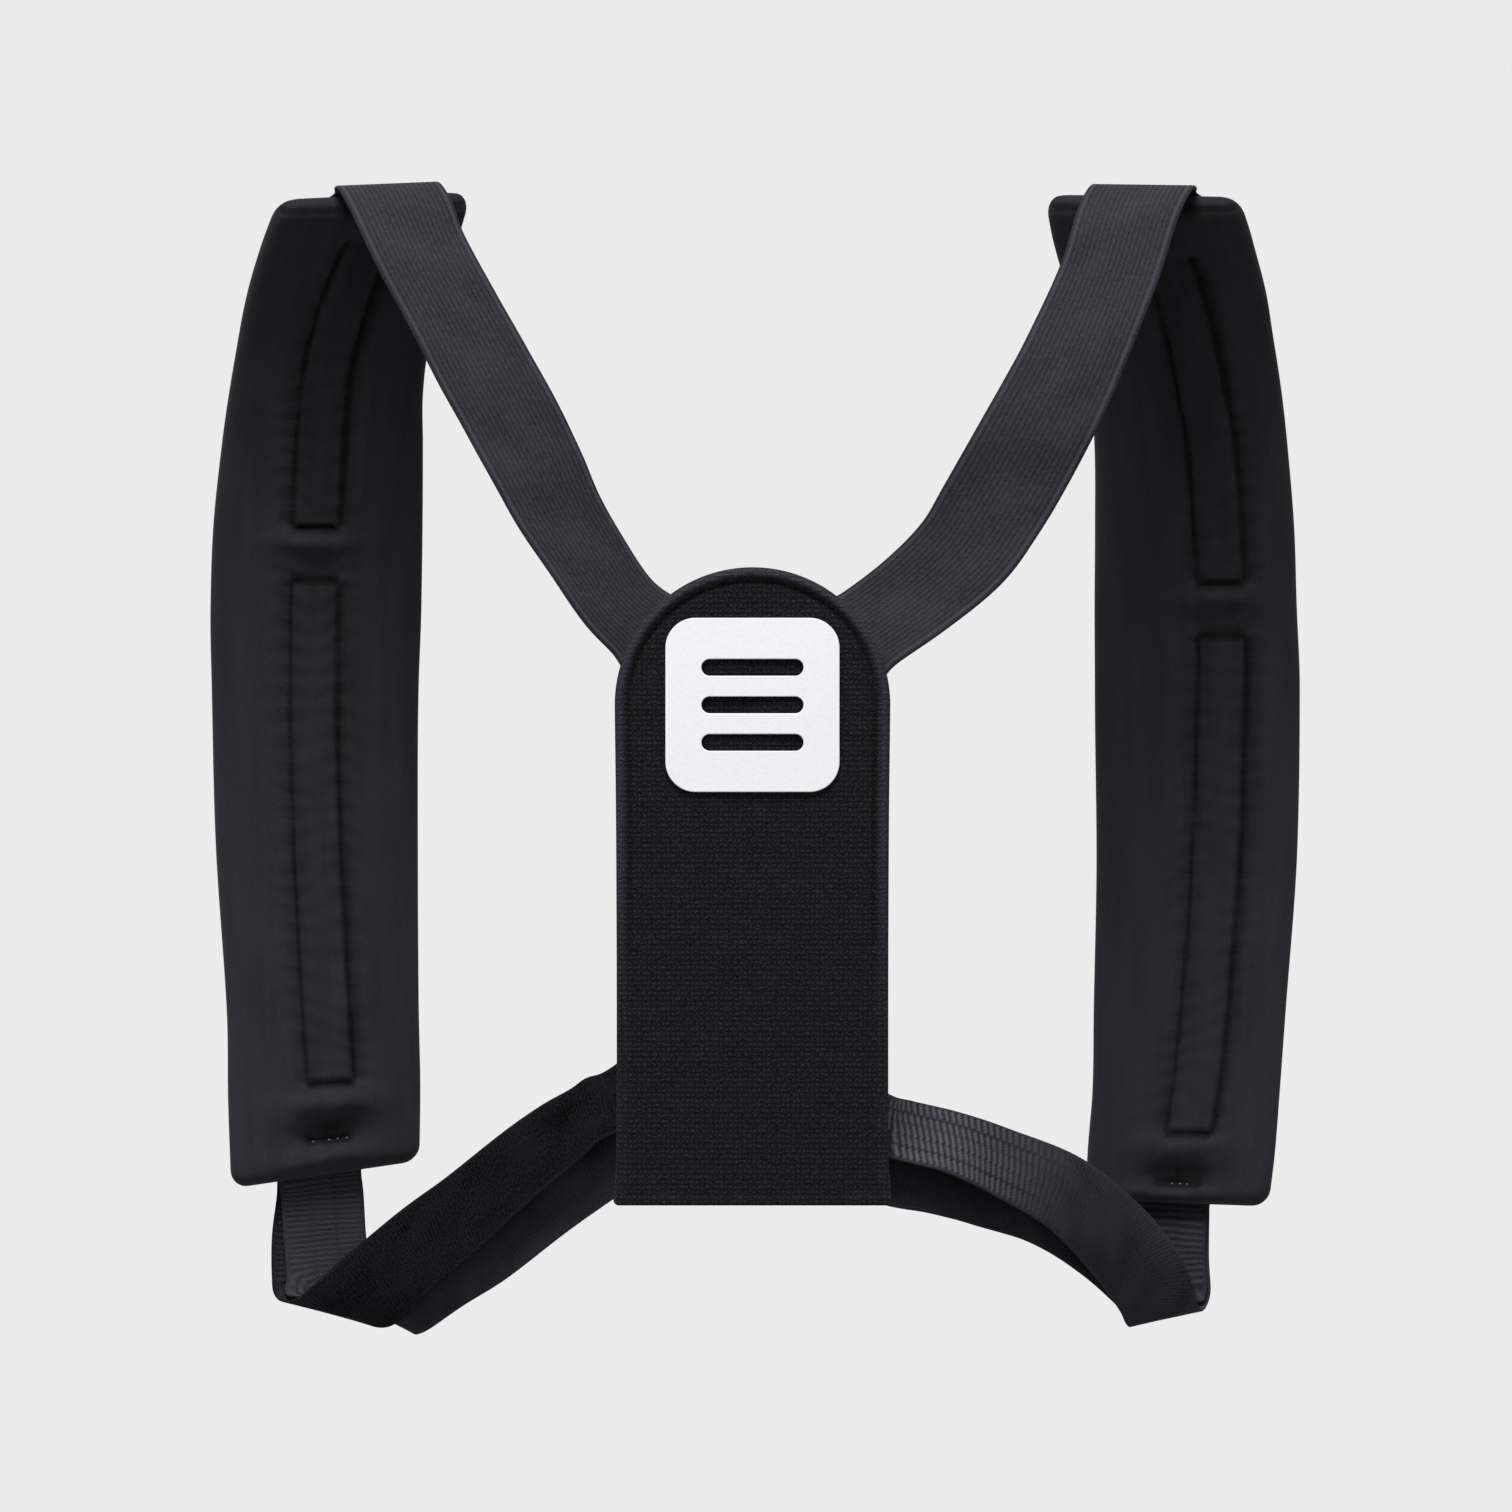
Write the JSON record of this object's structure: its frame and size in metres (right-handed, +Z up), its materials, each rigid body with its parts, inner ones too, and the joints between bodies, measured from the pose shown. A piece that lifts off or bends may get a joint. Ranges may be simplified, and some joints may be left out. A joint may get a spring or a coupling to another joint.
{
  "type": "posture corrector",
  "caption": "Worn posture corrector: an upright back panel joined by elastic and webbing straps to two long padded shoulder pieces, with an open armhole on each side",
  "frame": {"origin": "midway between the tops of the two shoulders, at the height and depth where the harness hangs on them", "axes": "+Z up, along the wearer's spine; +Y towards the wearer's front, through the part's thinnest extent; +X towards the wearer's right"},
  "size_m": [0.3902, 0.1239, 0.4048],
  "materials": {
    "knit": "brushed loop knit, matte black",
    "jersey": "smooth jersey over thin padding, matte black",
    "elastic": "woven elastic band, fine lengthwise ribs",
    "webbing": "ribbed elastic webbing, cross ribs",
    "patch": "smooth white moulded patch, satin"
  },
  "bodies": {
    "root": {"back_panel": "knit", "inner_leaf": "knit", "emblem_patch": "patch", "left_shoulder_pad": "jersey", "right_shoulder_pad": "jersey", "left_shoulder_strap": "elastic", "right_shoulder_strap": "elastic", "left_side_strap_outer": "webbing", "left_side_strap_inner": "webbing", "right_side_strap_outer": "webbing", "right_side_strap_inner": "webbing"}
  },
  "joints": []
}
